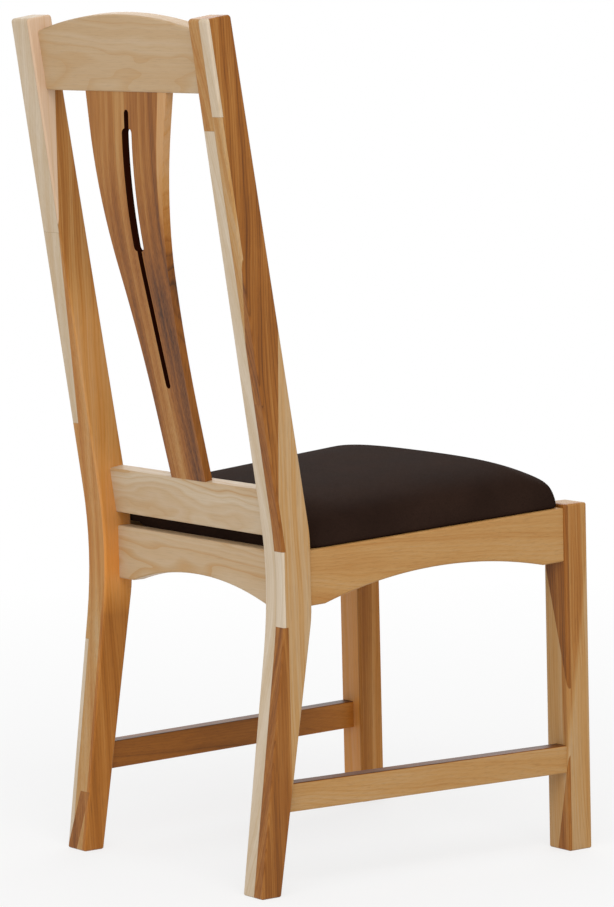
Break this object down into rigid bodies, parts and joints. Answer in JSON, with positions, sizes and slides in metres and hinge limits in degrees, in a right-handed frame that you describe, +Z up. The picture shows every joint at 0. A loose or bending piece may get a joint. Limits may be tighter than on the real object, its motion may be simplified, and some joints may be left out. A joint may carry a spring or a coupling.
{
  "type": "dining side chair",
  "caption": "Wooden dining side chair with raked rear posts, arched crest rail, slotted flared splat, side stretchers and a crowned leather seat.",
  "frame": {"origin": "on the floor, midway between the sides and midway between the front legs' front faces and the posts' rearmost edge", "axes": "+X to the sitter's left, +Y to the back of the chair, +Z up"},
  "size_m": [0.482, 0.5427, 1.07],
  "materials": {
    "frame_wood": "clear satin lacquer",
    "splat_wood": "clear satin lacquer",
    "dowel_wood": "bare",
    "block_wood": "bare",
    "plywood": "bare",
    "seat_leather": "satin",
    "foam": "matt",
    "dust_cloth": "matt",
    "staple_steel": "zinc plated",
    "screw_steel": "zinc plated"
  },
  "bodies": {
    "root": {"back_splat": "splat_wood", "corner_block_screws": "screw_steel", "cover_staples": "staple_steel", "crest_rail": "frame_wood", "crest_rail_dowels": "dowel_wood", "dust_cover": "dust_cloth", "front_apron": "frame_wood", "front_apron_dowels": "dowel_wood", "left_front_corner_block": "block_wood", "left_front_leg": "frame_wood", "left_rear_corner_block": "block_wood", "left_rear_post": "frame_wood", "left_side_apron": "frame_wood", "left_side_apron_dowels": "dowel_wood", "left_stretcher": "frame_wood", "left_stretcher_dowels": "dowel_wood", "lower_back_rail": "frame_wood", "lower_back_rail_dowels": "dowel_wood", "rear_apron": "frame_wood", "rear_apron_dowels": "dowel_wood", "right_front_corner_block": "block_wood", "right_front_leg": "frame_wood", "right_rear_corner_block": "block_wood", "right_rear_post": "frame_wood", "right_side_apron": "frame_wood", "right_side_apron_dowels": "dowel_wood", "right_stretcher": "frame_wood", "right_stretcher_dowels": "dowel_wood", "seat_board": "plywood", "seat_cover": "seat_leather", "seat_foam": "foam", "seat_screws": "screw_steel"}
  },
  "joints": []
}
